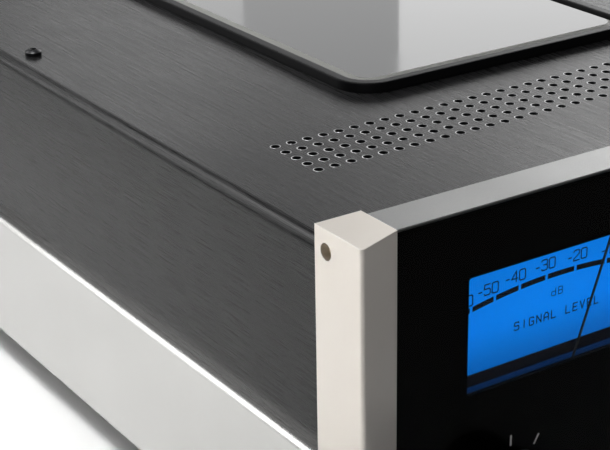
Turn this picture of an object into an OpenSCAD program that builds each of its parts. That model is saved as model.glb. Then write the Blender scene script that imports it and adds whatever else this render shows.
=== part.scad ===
// Compact stereo power amplifier with a glass front, two lit level meters,
// a brushed cover over a polished stainless pan and a bevelled glass plate on top.
// Millimetres. X runs to the right, Y from the front to the rear, Z up.
// The origin is on the floor, in the middle of the outline.

/* [Case] */
// Width over the two end caps
case_w = 290; // [270:1:420]
// Depth from the glass to the rear panel's outer face
case_d = 385; // [350:1:470]
// Height from the pan's underside to the cover's top
case_h = 116.4; // [115:0.1:150]
// Height of the feet
foot_h = 11; // [8:0.5:20]
// How far the front panel stands above the cover
front_rise = 7.8; // [5:0.1:12]

/* [Sheet metal] */
// Height of the pan's polished sides
pan_h = 51; // [40:0.5:60]
// Thickness of the stainless pan
pan_t = 1; // [0.8:0.1:1.6]
// Outer bend radius of the pan
pan_bend = 1.4; // [1.2:0.1:3]
// How far the pan's side stands out from the cover's side
ledge_w = 3.7; // [2:0.1:6]
// Width of the pan's inward flange under the cover
ledge_flange_w = 8; // [6:0.5:10]
// Thickness of the cover
cover_t = 1.2; // [1:0.1:2]
// Outer bend radius of the cover
cover_bend = 3.6; // [2.5:0.1:6]
// Thickness of the rear panel
rear_t = 1.5; // [1:0.1:2.5]
// Height of the folded flanges that carry the rear panel
rear_flange_h = 12; // [10:0.5:16]

/* [Vents] */
// Spacing of the vent holes
vent_pitch = 6; // [5:0.1:7]
// Diameter of the vent holes
vent_d = 3; // [2:0.1:4]
// Number of vent columns across the cover
vent_columns = 38; // [10:2:38]
// Number of vent rows
vent_rows = 5; // [2:1:6]
// Distance from the glass to the front row
vent_setback = 65; // [50:1:80]

/* [Front panel] */
// Thickness of the front glass
glass_t = 4; // [3:0.1:6]
// Thickness of the black light mask behind the glass
mask_t = 1; // [0.6:0.1:2]
// Thickness of the steel plate behind the mask
plate_t = 1.5; // [1:0.1:2.5]
// Depth of the rails' tops
rail_d = 13.4; // [11:0.1:18]
// Width of an end cap
cap_w = 15.2; // [12:0.1:20]
// How far the outer edge of a cap stands in front of the glass
cap_nose = 5.6; // [2:0.1:10]
// Distance from the glass to the back of a cap
cap_back = 16.5; // [14:0.1:22]
// Radius of a cap's upright front edge
cap_edge_r = 1; // [0.5:0.1:2]
// Diameter of the recesses for the cap screws
cap_recess_d = 5; // [4.8:0.1:7]

/* [Meters] */
// Width of a meter window
window_w = 72.6; // [60:0.1:74]
// Height of a meter window
window_h = 37.4; // [30:0.1:42]
// Distance from the panel's top to a window
window_drop = 22.9; // [20:0.1:26]
// Distance of each meter's centre line from the middle
meter_x = 66.1; // [62:0.1:80]
// Length of a needle from its pivot
needle_l = 58.5; // [50:0.1:59]
// Distance of the needle's pivot below the window's top edge
pivot_drop = 55.3; // [54:0.1:60]
// Reading of the needles at rest, from straight up
needle_rest = 19.6; // [0:0.1:35]

/* [Knobs] */
// Diameter of a knob's skirt
knob_d = 32; // [26:0.5:34]
// How far a knob stands out from the glass
knob_out = 20; // [16:0.5:26]
// Distance of each knob from the middle
knob_x = 88; // [70:1:92]
// Height of the knobs above the pan's underside
knob_z = 26.6; // [24:0.1:28]
// Diameter of the switch shafts
shaft_d = 6; // [5:0.1:7]

/* [Top plate] */
// Width of the black frame on the cover
frame_w = 128; // [100:1:180]
// Length of the frame
frame_l = 235; // [150:1:250]
// Height of the frame
frame_h = 3.7; // [3:0.1:5]
// Width of the frame's border
frame_border = 3.2; // [2.5:0.1:6]
// Outer corner radius of the frame
frame_r = 13; // [9:0.5:20]
// Distance from the glass to the frame's front
frame_setback = 110.4; // [105:0.1:115]
// Width of the bevel around the top glass
bevel_w = 3.8; // [2:0.1:5]

/* [Rear] */
// How far the speaker posts stand out from the rear panel
post_out = 27; // [24:0.5:34]
// Spacing of a pair of speaker posts
post_pitch = 19.05; // [18:0.05:22]
// Diameter of the plug bore in a speaker post
banana_d = 4; // [4:0.1:4.4]

/* [Inside] */
// Radius of the toroidal transformer
toroid_r = 62; // [50:1:64]
// Height of the toroidal transformer
toroid_h = 56; // [40:1:60]
// Diameter of a filter capacitor
capacitor_d = 35; // [25:1:36]
// Height of a filter capacitor
capacitor_h = 50; // [40:1:70]

/* [Hidden] */

$fn = 64;
// Overlap of cutting tools past the faces they cut
cut = 1;
// Clearance between pieces that are fitted side by side
gap = 0.2;
// Radial clearance of a pin or shaft that turns or slides in its hole
running = 0.05;
// Clearance between a moving piece and a fixed one beside it
moving_gap = 0.3;

// Main levels and places
front_y = -(knob_out + case_d + post_out) / 2 + knob_out;
rear_y = front_y + case_d;
base_z = foot_h;
cover_z = foot_h + case_h;
top_z = cover_z + front_rise;
ledge_z = base_z + pan_h;
floor_z = base_z + pan_t;
inner_rear_y = rear_y - rear_t;
flange_screw_x = 40;
flange_screw_inset = 24.7;
flange_screw_up = 7;
flange_screw_drop = 7.5;

// Sheet metal
pan_side_inset = 0.3;
pan_w = case_w - 2 * pan_side_inset;
cover_w = pan_w - 2 * ledge_w;
cap_back_y = front_y + cap_back;
cap_inner_x = case_w / 2 - cap_w;
between_caps = 2 * (cap_inner_x - gap);

// Front panel: layers counted back from the glass's outer face
lip_t = 1.5;
lip_nose = 0.4;
lip_setback = 0.2;
lip_slope = 1.2;
glass_z0 = base_z + lip_t + 0.1;
glass_z1 = top_z - lip_t - 0.1;
mask_y = front_y + glass_t;
plate_y = mask_y + mask_t;
rail_y = plate_y + plate_t;
rail_back_y = front_y + lip_setback + rail_d;
rail_below_cover = 8;
rail_foot_h = 12;
rail_seat_d = 4.4;

// Meters
window_z1 = top_z - window_drop;
window_z0 = window_z1 - window_h;
window_r = 1;
pivot_z = window_z1 - pivot_drop;
housing_wall = 1.3;
housing_w = 84;
housing_z0 = pivot_z - 11;
housing_z1 = cover_z - rail_below_cover - 1;
housing_depth = 21;
dial_depth = 3;
dial_t = 0.8;
dial_z0 = pivot_z + 11;
needle_depth = 1.3;
needle_t = 0.4;
needle_w = 0.7;
needle_hub_r = 3;
needle_tail = 7;
pin_r = 0.8;
movement_r = 8.8;
lamp_depth = 11;
board_t = 1.6;

// Knobs and switches
knob_level = base_z + knob_z;
knob_body_r = knob_d / 2 - 2;
knob_lift = 0.6;
knob_skirt_h = 3;
bush_r = 4.5;
nut_af_r = 7;
front_hole_r = 9;
switch_size = 15.2;
switch_depth = 15;
lens_r = 1.5;
lens_x = 117;

// Fasteners: head and shank radii
small_head_r = 3;
small_head_h = 2.4;
small_shank_r = 1.45;
small_hole_r = 1.6;
thread_hole_r = 1.5;
cap_screw_y = front_y + 11.2;
cap_screw_drop = 6.45;
cap_screw_depth = 2.5;
cover_screw_inset = 10.1;
cover_screw_setbacks = [219.9, case_d - 15];

// Feet
foot_r = 15;
foot_inset_x = 30;
foot_inset_y = 45;
foot_screw_r = 1.95;
foot_screw_head_r = 3.8;

// Rear panel layout, seen from the front: x positions and heights
socket_z = base_z + 81;
xlr_x = [-95, -62];
rca_x = [-32, -12];
selector_x = 12;
trigger_x = [36, 54];
post_z = base_z + 34;
post_x = [-108, -108 + post_pitch, -62, -62 + post_pitch];
inlet_x = 105;
inlet_z = base_z + 37;
socket_back = 24;
xlr_r = 11.5;
rca_shell_r = 4.15;
rca_shell_l = 9;
post_stud_r = 3.5;
post_flange_r = 8;
post_flange_t = 3;
collar_t = 1.5;
post_cap_r = 7.6;
latch_w = 8;
latch_h = 3.6;
latch_depth = 2.2;
latch_out = 2;
latch_rise = 3;
latch_travel = 1.8;
inlet_w = 27;
inlet_h = 42;
inlet_depth = 22;
cavity_w = 24.6;
cavity_h = 16.4;
cavity_z = 9;
cavity_depth = 16;
drawer_w = 21.4;
drawer_h = 7.4;
drawer_z = -12;
drawer_depth = 18;
slider_travel = 4;

// Inside
heat_sink_y = front_y + vent_setback - 3;
heat_sink_fin_d = 30;
heat_sink_base_t = 6;
heat_sink_w = 110;
heat_sink_h = case_h - 16;
heat_sink_fin_t = 2;
board_z = floor_z + 12;
amp_board_w = 118;
amp_board_d = 78;
amp_board_y = heat_sink_y + heat_sink_fin_d + heat_sink_base_t + 1;
toroid_y = front_y + 245;
toroid_hole_r = 18;
toroid_edge_r = 9;
pad_t = 2.5;
dish_t = 2;
supply_board_x = toroid_r + 6;
supply_board_w = 54;
supply_board_d = 122;
standoff_r = 3;
pillar_r = 4;

// Outline helpers -----------------------------------------------------------

// Rounded rectangle, centred
module rounded(w, h, r) {
    square([w - 2 * r, h], center = true);
    square([w, h - 2 * r], center = true);
    for (sx = [-1, 1], sy = [-1, 1])
        translate([sx * (w / 2 - r), sy * (h / 2 - r)])
            circle(r);
}

// Extrude an X-Z outline from y0 to y1
module along_y(y0, y1) {
    translate([0, y1, 0])
        rotate([90, 0, 0])
            linear_extrude(y1 - y0)
                children();
}

// Extrude a Y-Z outline from x0 to x1
module along_x(x0, x1) {
    translate([x0, 0, 0])
        rotate([90, 0, 90])
            linear_extrude(x1 - x0)
                children();
}

// Cylinder along Y between y0 and y1
module rod_y(x, z, r, y0, y1) {
    translate([x, y1, z])
        rotate([90, 0, 0])
            cylinder(h = y1 - y0, r = r);
}

// Cylinder along X between x0 and x1
module rod_x(y, z, r, x0, x1) {
    translate([x0, y, z])
        rotate([0, 90, 0])
            cylinder(h = x1 - x0, r = r);
}

// Box given by its two corners
module block(low, high) {
    translate(low)
        cube(high - low);
}

// Copy for the left and the right side
module both_sides() {
    for (side = [-1, 1])
        translate([side * meter_x, 0, 0])
            children();
}

// Chassis -------------------------------------------------------------------

module pan_section() {
    difference() {
        translate([0, base_z + pan_h / 2])
            rounded(pan_w, pan_h, pan_bend);
        translate([0, base_z + pan_h / 2])
            rounded(pan_w - 2 * pan_t, pan_h - 2 * pan_t, pan_bend - pan_t);
        translate([0, ledge_z])
            square([pan_w - 2 * ledge_flange_w, 4 * pan_t], center = true);
    }
}

module foot_places() {
    for (sx = [-1, 1], y = [front_y + foot_inset_y, rear_y - foot_inset_y])
        translate([sx * (case_w / 2 - foot_inset_x), y, 0])
            children();
}

// Screw positions along a rear flange at height z
module rear_flange_screws() {
    for (sx = [-1, 1], x = [flange_screw_x, pan_w / 2 - flange_screw_inset],
            z = [base_z + flange_screw_up, cover_z - flange_screw_drop])
        translate([sx * x, inner_rear_y, z])
            children();
}

module bottom_slots() {
    slot_w = 3;
    slot_l = heat_sink_fin_d - 8;
    for (side = [-1, 1], k = [0:9])
        translate([side * (14 + 10 * k), heat_sink_y + heat_sink_fin_d / 2, base_z])
            cube([slot_w, slot_l, 6 * pan_t], center = true);
}

module chassis_pan() {
    color("gainsboro")
    difference() {
        union() {
            along_y(cap_back_y, inner_rear_y)
                pan_section();
            block([-between_caps / 2, rail_back_y + 0.1, base_z],
                  [between_caps / 2, cap_back_y + cut, floor_z]);
            block([-between_caps / 2, inner_rear_y - pan_t, base_z],
                  [between_caps / 2, inner_rear_y, base_z + rear_flange_h]);
        }
        foot_places()
            translate([0, 0, base_z - cut])
                cylinder(h = pan_t + 2 * cut, r = 2.2);
        translate([0, toroid_y, base_z - cut])
            cylinder(h = pan_t + 2 * cut, r = 4.2);
        bottom_slots();
        rear_flange_screws()
            rotate([90, 0, 0])
                cylinder(h = 10, r = small_hole_r, center = true);
    }
}

module cover_section() {
    difference() {
        union() {
            square([cover_w, cover_z - cover_bend - ledge_z], center = false);
            translate([cover_bend, cover_z - ledge_z - 2 * cover_bend])
                square([cover_w - 2 * cover_bend, 2 * cover_bend]);
            for (x = [cover_bend, cover_w - cover_bend])
                translate([x, cover_z - ledge_z - cover_bend])
                    circle(cover_bend);
        }
        translate([cover_t, -cut])
            square([cover_w - 2 * cover_t, cover_z - cover_bend - ledge_z + cut]);
        translate([cover_bend, 0])
            square([cover_w - 2 * cover_bend, cover_z - ledge_z - cover_t]);
        for (x = [cover_bend, cover_w - cover_bend])
            translate([x, cover_z - ledge_z - cover_bend])
                circle(cover_bend - cover_t);
    }
}

module vent_holes() {
    for (column = [0:vent_columns - 1], row = [0:vent_rows - 1])
        translate([(column - (vent_columns - 1) / 2) * vent_pitch,
                   front_y + vent_setback + row * vent_pitch, cover_z - cover_t - cut])
            cylinder(h = cover_t + 2 * cut, r = vent_d / 2, $fn = 24);
}

module cover_screw_places() {
    for (sx = [-1, 1], setback = cover_screw_setbacks)
        translate([sx * (cover_w / 2 - cover_screw_inset), front_y + setback, cover_z])
            children();
}

module top_cover() {
    color("dimgray")
    difference() {
        union() {
            translate([-cover_w / 2, 0, ledge_z])
                along_y(cap_back_y, inner_rear_y)
                    cover_section();
            block([-between_caps / 2, rail_back_y + 0.1, cover_z - cover_t],
                  [between_caps / 2, cap_back_y + cut, cover_z]);
            block([-between_caps / 2, inner_rear_y - cover_t, cover_z - rear_flange_h],
                  [between_caps / 2, inner_rear_y, cover_z - cover_t / 2]);
        }
        vent_holes();
        cover_screw_places()
            cylinder(h = 4 * cover_t, r = small_hole_r, center = true);
        rear_flange_screws()
            rotate([90, 0, 0])
                cylinder(h = 10, r = small_hole_r, center = true);
    }
}

// Button-head screw with a hexagon socket; the head's seat is at z = 0
module button_screw(head_r, head_h, shank_r, shank_l, socket_r) {
    difference() {
        union() {
            rotate_extrude()
                intersection() {
                    translate([0, head_h - 1.6 * head_r])
                        circle(1.6 * head_r);
                    square([head_r, head_h]);
                }
            translate([0, 0, -shank_l])
                cylinder(h = shank_l + 0.1, r = shank_r);
        }
        translate([0, 0, head_h * 0.35])
            cylinder(h = head_h, r = socket_r, $fn = 6);
    }
}

module cover_screws() {
    color("black")
    cover_screw_places()
        button_screw(small_head_r, small_head_h, small_shank_r, 9, 1.3);
}

// Openings in the rear panel
module rear_cutouts() {
    reach = 10;
    for (x = xlr_x)
        rod_y(x, socket_z, xlr_r + gap, rear_y - reach, rear_y + reach);
    for (x = xlr_x)
        translate([x, rear_y, socket_z + latch_rise])
            latch_pocket();
    for (x = concat(rca_x, trigger_x))
        rod_y(x, socket_z, 4.6, rear_y - reach, rear_y + reach);
    translate([selector_x, rear_y, socket_z])
        cube([12, reach, 6], center = true);
    for (x = post_x)
        rod_y(x, post_z, 5.2, rear_y - reach, rear_y + reach);
    translate([inlet_x, rear_y, inlet_z])
        cube([inlet_w + 2 * gap, reach, inlet_h + 2 * gap], center = true);
}

module rear_panel() {
    color("dimgray")
    difference() {
        union() {
            block([-pan_w / 2, inner_rear_y, base_z], [pan_w / 2, rear_y, ledge_z]);
            block([-cover_w / 2, inner_rear_y, ledge_z - cut], [cover_w / 2, rear_y, cover_z - cover_bend]);
            block([-cover_w / 2 + cover_bend, inner_rear_y, cover_z - cover_bend - cut],
                  [cover_w / 2 - cover_bend, rear_y, cover_z]);
            for (sx = [-1, 1])
                rod_y(sx * (cover_w / 2 - cover_bend), cover_z - cover_bend, cover_bend, inner_rear_y, rear_y);
        }
        rear_cutouts();
        rear_flange_screws()
            rotate([90, 0, 0])
                cylinder(h = 10, r = small_hole_r, center = true);
    }
}

module rear_screws() {
    color("black")
    rear_flange_screws()
        translate([0, rear_t, 0])
            rotate([-90, 0, 0])
                button_screw(2.8, 2, small_shank_r, 7, 1.2);
}

module feet() {
    color("black")
    foot_places()
        difference() {
            rotate_extrude()
                polygon([[0, 0], [foot_r - 1.5, 0], [foot_r, 1.5], [foot_r - 1, foot_h], [0, foot_h]]);
            translate([0, 0, -cut])
                cylinder(h = foot_h * 0.55 + cut, r = foot_screw_head_r + 0.7);
            translate([0, 0, -cut])
                cylinder(h = foot_h + 2 * cut, r = foot_screw_r + 0.25);
        }
}

module foot_screws() {
    head_h = 2.5;
    color("silver")
    foot_places() {
        translate([0, 0, foot_h * 0.55 - head_h])
            cylinder(h = head_h, r = foot_screw_head_r);
        translate([0, 0, foot_h * 0.55 - 0.1])
            cylinder(h = foot_h * 0.45 + 7, r = foot_screw_r);
    }
}

// Top plate -----------------------------------------------------------------

module on_top_plate() {
    translate([0, front_y + frame_setback + frame_l / 2, cover_z])
        children();
}

module glass_frame() {
    color("black")
    on_top_plate()
        linear_extrude(frame_h)
            difference() {
                rounded(frame_w, frame_l, frame_r);
                rounded(frame_w - 2 * frame_border, frame_l - 2 * frame_border, frame_r - frame_border);
            }
}

// Glass plate whose upper edge slopes down to its side
module top_glass() {
    inset = frame_border + gap;
    side_h = frame_h - 2.2;
    color("lightgray", 0.6)
    on_top_plate()
        hull() {
            linear_extrude(side_h)
                rounded(frame_w - 2 * inset, frame_l - 2 * inset, frame_r - inset, $fn = 48);
            linear_extrude(frame_h - 0.5)
                rounded(frame_w - 2 * (inset + bevel_w), frame_l - 2 * (inset + bevel_w),
                        frame_r - inset - bevel_w, $fn = 48);
        }
}

// Front panel ---------------------------------------------------------------

module knob_places() {
    for (sx = [-1, 1])
        translate([sx * knob_x, 0, knob_level])
            children();
}

module knob_holes(r) {
    knob_places()
        rod_y(0, 0, r, front_y - cut, rail_y + cut);
}

module front_glass() {
    color("lightsteelblue", 0.3)
    difference() {
        block([-between_caps / 2, front_y, glass_z0], [between_caps / 2, mask_y, glass_z1]);
        knob_holes(front_hole_r);
    }
}

module front_mask() {
    color("black")
    difference() {
        block([-between_caps / 2, mask_y, glass_z0], [between_caps / 2, plate_y, glass_z1]);
        both_sides()
            translate([0, 0, (window_z0 + window_z1) / 2])
                along_y(front_y, rail_y)
                    rounded(window_w, window_h, window_r);
        knob_holes(front_hole_r);
        rod_y(lens_x, knob_level, lens_r + 0.1, front_y, rail_y);
    }
}

module front_subpanel() {
    color("dimgray")
    difference() {
        block([-between_caps / 2, plate_y, glass_z0], [between_caps / 2, rail_y, glass_z1]);
        both_sides()
            block([-housing_w / 2 - gap, front_y, housing_z0 - gap],
                  [housing_w / 2 + gap, rail_y + cut, housing_z1 + gap]);
        knob_holes(bush_r + 0.1);
        rod_y(lens_x, knob_level, lens_r + 0.1, front_y, rail_y + cut);
    }
}

// Front rail: a thin lip over the glass's edge, a web behind the front plate
// and a seat at the back for the sheet's edge. z grows from the lip inward.
module rail_section(web_h, seat_z) {
    polygon([
        [lip_setback, 0], [lip_setback, lip_nose], [lip_slope, lip_t],
        [rail_y - front_y, lip_t], [rail_y - front_y, web_h],
        [lip_setback + rail_d + rail_seat_d, web_h], [lip_setback + rail_d + rail_seat_d, seat_z],
        [lip_setback + rail_d, seat_z], [lip_setback + rail_d, 0]
    ]);
}

module rail_bar(web_h, seat_z) {
    difference() {
        along_x(-between_caps / 2, between_caps / 2)
            rail_section(web_h, seat_z);
        for (sx = [-1, 1])
            translate([sx * between_caps / 2, cap_screw_y - front_y, cap_screw_drop])
                rotate([0, 90, 0])
                    cylinder(h = 22, r = thread_hole_r, center = true);
    }
}

module front_rail_top() {
    color("gray")
    translate([0, front_y, top_z])
        mirror([0, 0, 1])
            rail_bar(front_rise + rail_below_cover, front_rise + cover_t);
}

module front_rail_bottom() {
    color("gray")
    translate([0, front_y, base_z])
        rail_bar(rail_foot_h, pan_t);
}

// Plan of the left end cap: a bevelled front between the outer edge and the glass
module cap_plan() {
    outer_x = -case_w / 2;
    nose_y = front_y - cap_nose;
    inner_front_y = front_y - gap;
    bevel_angle = atan2(inner_front_y - nose_y, cap_w);
    edge_y = nose_y + cap_edge_r * (1 / cos(bevel_angle) + tan(bevel_angle));
    arc_steps = 12;
    polygon(concat(
        [[outer_x, cap_back_y]],
        [for (k = [0:arc_steps])
            let (a = 180 + (90 + bevel_angle) * k / arc_steps)
            [outer_x + cap_edge_r * (1 + cos(a)), edge_y + cap_edge_r * sin(a)]],
        [[-cap_inner_x, inner_front_y], [-cap_inner_x, cap_back_y]]
    ));
}

module cap_screw_places() {
    for (sx = [-1, 1], z = [base_z + cap_screw_drop, top_z - cap_screw_drop])
        translate([sx * case_w / 2, cap_screw_y, z])
            rotate([0, sx * 90, 0])
                children();
}

module end_cap() {
    difference() {
        translate([0, 0, base_z])
            linear_extrude(top_z - base_z)
                cap_plan();
        cap_screw_places() {
            translate([0, 0, -cap_screw_depth - 3])
                cylinder(h = cap_screw_depth + 3 + cut, r = cap_recess_d / 2);
            translate([0, 0, -cap_w - cut])
                cylinder(h = cap_w + cut, r = small_hole_r);
        }
    }
}

module end_cap_left() {
    color("gainsboro")
    end_cap();
}

module end_cap_right() {
    color("gainsboro")
    mirror([1, 0, 0])
        end_cap();
}

module end_cap_screws() {
    color("darkgoldenrod")
    cap_screw_places()
        difference() {
            union() {
                translate([0, 0, -cap_screw_depth - 3])
                    cylinder(h = 3, r = cap_recess_d / 2 - 0.15);
                translate([0, 0, -cap_w - 8])
                    cylinder(h = cap_w + 8 - cap_screw_depth - 2.9, r = small_shank_r);
            }
            translate([0, 0, -cap_screw_depth - 1.6])
                cylinder(h = 2, r = 1.3, $fn = 6);
        }
}

// Meters --------------------------------------------------------------------

module meter_housings() {
    color("black")
    both_sides()
        difference() {
            block([-housing_w / 2, plate_y, housing_z0],
                  [housing_w / 2, plate_y + housing_depth, housing_z1]);
            block([-housing_w / 2 + housing_wall, plate_y - cut, housing_z0 + housing_wall],
                  [housing_w / 2 - housing_wall, plate_y + housing_depth - housing_wall,
                   housing_z1 - housing_wall]);
        }
}

module meter_dials() {
    inner = housing_w / 2 - housing_wall - gap / 2;
    color("deepskyblue")
    both_sides()
        block([-inner, plate_y + dial_depth, dial_z0],
              [inner, plate_y + dial_depth + dial_t, housing_z1 - housing_wall - gap / 2]);
}

// Magnet ring with the bridge and the pivot pin that carries the needle
module meter_movements() {
    color("silver")
    both_sides() {
        rod_y(0, pivot_z, movement_r, plate_y + dial_depth, plate_y + housing_depth - housing_wall - gap / 2);
        rod_y(0, pivot_z, pin_r, plate_y + needle_depth - 0.6, plate_y + dial_depth + cut);
    }
}

module meter_lamp_boards() {
    inner = housing_w / 2 - housing_wall - gap / 2;
    led = [3, 1, 3];
    z0 = dial_z0 + 2;
    z1 = housing_z1 - housing_wall - gap / 2;
    color("white")
    both_sides() {
        block([-inner, plate_y + lamp_depth, z0], [inner, plate_y + lamp_depth + board_t, z1]);
        for (x = [-30:12:30], z = [z0 + 10, z1 - 10])
            translate([x, plate_y + lamp_depth - led[1] / 2 + 0.1, z])
                cube(led, center = true);
    }
}

// Needle standing at its resting reading, with a counterweight below the pivot
module meter_needle() {
    y0 = plate_y + needle_depth;
    translate([0, 0, pivot_z])
        rotate([0, needle_rest, 0])
            difference() {
                union() {
                    block([-needle_w / 2, y0, 0], [needle_w / 2, y0 + needle_t, needle_l]);
                    rod_y(0, 0, needle_hub_r, y0 - 0.2, y0 + 1);
                    block([-1.5, y0, -needle_tail], [1.5, y0 + 1, 0]);
                }
                rod_y(0, 0, pin_r + running, y0 - cut, y0 + 2);
            }
}

module meter_needle_left() {
    color("black")
    translate([-meter_x, 0, 0])
        meter_needle();
}

module meter_needle_right() {
    color("black")
    translate([meter_x, 0, 0])
        meter_needle();
}

// Knobs and switches --------------------------------------------------------

module knob() {
    tip = knob_out;
    grip_z = knob_skirt_h + 0.4;
    top_h = 1.2;
    flutes = 24;
    flute_r = 0.9;
    color("dimgray")
    translate([0, front_y, knob_level])
        rotate([90, 0, 0])
            difference() {
                union() {
                    rotate_extrude()
                        polygon([
                            [0, knob_lift], [knob_d / 2, knob_lift], [knob_d / 2, knob_skirt_h - 0.6],
                            [knob_d / 2 - 0.6, knob_skirt_h], [knob_body_r, grip_z], [0, grip_z]
                        ]);
                    translate([0, 0, grip_z - 0.1])
                        linear_extrude(tip - top_h - grip_z + 0.1)
                            difference() {
                                circle(knob_body_r);
                                for (k = [0:flutes - 1])
                                    rotate(360 * k / flutes)
                                        translate([knob_body_r + flute_r / 2, 0])
                                            circle(flute_r, $fn = 24);
                            }
                    translate([0, 0, tip - top_h - 0.1])
                        cylinder(h = top_h + 0.1, r = knob_body_r - 1);
                }
                translate([0, 0, -cut])
                    cylinder(h = tip - 5 + cut, r = shaft_d / 2 + running);
                translate([0, 0, -cut])
                    cylinder(h = cut + 3.4, r = nut_af_r + 0.8);
                translate([-0.6, 5, tip - 0.5])
                    cube([1.2, knob_body_r - 7, cut]);
            }
}

module knob_left() {
    translate([-knob_x, 0, 0])
        knob();
}

module knob_right() {
    translate([knob_x, 0, 0])
        knob();
}

module switch_shaft(x) {
    color("silver")
    rod_y(x, knob_level, shaft_d / 2, front_y - knob_out + 6, rail_y + switch_depth - 2);
}

module rotary_switches() {
    color("darkslategray")
    knob_places()
        difference() {
            union() {
                block([-switch_size / 2, rail_y, -switch_size / 2],
                      [switch_size / 2, rail_y + switch_depth, switch_size / 2]);
                rod_y(0, 0, bush_r, front_y, rail_y + cut);
            }
            rod_y(0, 0, shaft_d / 2 + running, front_y - cut, rail_y + switch_depth - 1.5);
        }
}

module bush_nuts() {
    nut_t = 2;
    color("silver")
    knob_places()
        difference() {
            translate([0, plate_y, 0])
                rotate([90, 0, 0])
                    cylinder(h = nut_t, r = nut_af_r, $fn = 6);
            rod_y(0, 0, bush_r + 0.05, front_y, rail_y);
        }
}

module status_lens() {
    color("tomato")
    rod_y(lens_x, knob_level, lens_r, mask_y, rail_y + switch_depth);
}

module control_board() {
    y0 = rail_y + switch_depth;
    color("darkgreen")
    block([-between_caps / 2 + 4, y0, knob_level - 12], [between_caps / 2 - 4, y0 + board_t, knob_level + 8]);
}

// Rear sockets --------------------------------------------------------------

// Mains inlet: a flanged body with a plug cavity above a slot for the fuse drawer
module mains_inlet() {
    flange = 4;
    flange_t = 3;
    color("black")
    translate([inlet_x, rear_y, inlet_z])
        difference() {
            union() {
                along_y(0, flange_t)
                    rounded(inlet_w + flange, inlet_h + flange, 2);
                block([-inlet_w / 2, -inlet_depth, -inlet_h / 2], [inlet_w / 2, cut, inlet_h / 2]);
            }
            translate([0, 0, cavity_z])
                along_y(flange_t - cavity_depth, flange_t + cut)
                    cavity_outline();
            translate([0, 0, drawer_z])
                block([-drawer_w / 2 - moving_gap, flange_t - drawer_depth - moving_gap, -drawer_h / 2 - moving_gap],
                      [drawer_w / 2 + moving_gap, flange_t + cut, drawer_h / 2 + moving_gap]);
        }
}

// Plug cavity with its two upper corners cut off
module cavity_outline() {
    corner = 4;
    polygon([
        [-cavity_w / 2, -cavity_h / 2], [cavity_w / 2, -cavity_h / 2],
        [cavity_w / 2, cavity_h / 2 - corner], [cavity_w / 2 - corner, cavity_h / 2],
        [-cavity_w / 2 + corner, cavity_h / 2], [-cavity_w / 2, cavity_h / 2 - corner]
    ]);
}

module inlet_pins() {
    pin_w = 2;
    pin_h = 4;
    flange_t = 3;
    color("silver")
    translate([inlet_x, rear_y + flange_t - cavity_depth, inlet_z + cavity_z])
        for (place = [[-7, -2], [7, -2], [0, 4]])
            translate([place[0] - pin_w / 2, 0, place[1] - pin_h / 2])
                cube([pin_w, 13, pin_h]);
}

module fuse_drawer() {
    flange_t = 3;
    lip = 1;
    color("black")
    translate([inlet_x, rear_y + flange_t, inlet_z + drawer_z])
        difference() {
            union() {
                block([-drawer_w / 2, -drawer_depth, -drawer_h / 2], [drawer_w / 2, 0.5, drawer_h / 2]);
                block([-drawer_w / 4, 0, -drawer_h / 2], [drawer_w / 4, 1.5, -drawer_h / 2 + lip]);
            }
            block([-drawer_w / 2 + 1.5, -drawer_depth + 1.5, -drawer_h / 2 + 1], [drawer_w / 2 - 1.5, -2, drawer_h]);
        }
}

// Pocket for the release latch of a socket, as deep as the latch travels
module latch_pocket() {
    block([-latch_w / 2 - moving_gap, -latch_depth - latch_travel - moving_gap, xlr_r - latch_h - 1.2 - moving_gap],
          [latch_w / 2 + moving_gap, 10, xlr_r - 1.2 + moving_gap]);
}

module xlr_sockets() {
    flange_w = 26;
    flange_h = 31;
    flange_t = 2;
    contact_r = 1.25;
    contact_circle = 4.2;
    color("black")
    for (x = xlr_x)
        translate([x, rear_y, socket_z])
            difference() {
                union() {
                    along_y(0, flange_t)
                        rounded(flange_w, flange_h, 2);
                    rod_y(0, 0, xlr_r, -socket_back, flange_t);
                }
                difference() {
                    rod_y(0, -1.8, 9, flange_t - 12, flange_t + cut);
                    rod_y(0, -1.8, 7.2, flange_t - 13, flange_t + cut);
                }
                for (a = [90, 210, 330])
                    rod_y(contact_circle * cos(a + 180), -1.8 + contact_circle * sin(a + 180), contact_r,
                          flange_t - 12, flange_t + cut);
                translate([0, 0, latch_rise])
                    latch_pocket();
            }
}

module xlr_latch(x) {
    color("silver")
    translate([x, rear_y, socket_z + latch_rise])
        block([-latch_w / 2, -latch_depth, xlr_r - latch_h - 1.2], [latch_w / 2, 2 + latch_out, xlr_r - 1.2]);
}

module rca_sockets() {
    color("goldenrod")
    for (x = rca_x)
        translate([x, rear_y, socket_z])
            difference() {
                union() {
                    rod_y(0, 0, 4.4, -socket_back, 0.1);
                    translate([0, 3, 0])
                        rotate([90, 0, 0])
                            cylinder(h = 3, r = 6.4, $fn = 6);
                    rod_y(0, 0, rca_shell_r, 0, 3 + rca_shell_l);
                }
                rod_y(0, 0, 1.65, 4, 3 + rca_shell_l + cut);
            }
}

module input_switch() {
    color("dimgray")
    translate([selector_x, rear_y, socket_z])
        difference() {
            block([-5.8, -socket_back, -2.8], [5.8, 0, 2.8]);
            block([-4 - moving_gap, -3, -1.5 - moving_gap], [4 + moving_gap, cut, 1.5 + moving_gap]);
        }
}

module input_switch_slider() {
    color("white")
    translate([selector_x - slider_travel / 2, rear_y, socket_z])
        block([-2, -2.7, -1.5], [2, 2, 1.5]);
}

module trigger_jacks() {
    color("black")
    for (x = trigger_x)
        difference() {
            union() {
                rod_y(x, socket_z, 4.4, rear_y - socket_back, rear_y + 0.1);
                rod_y(x, socket_z, 5.6, rear_y, rear_y + 2);
            }
            rod_y(x, socket_z, 1.8, rear_y - 12, rear_y + 2 + cut);
        }
}

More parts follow.
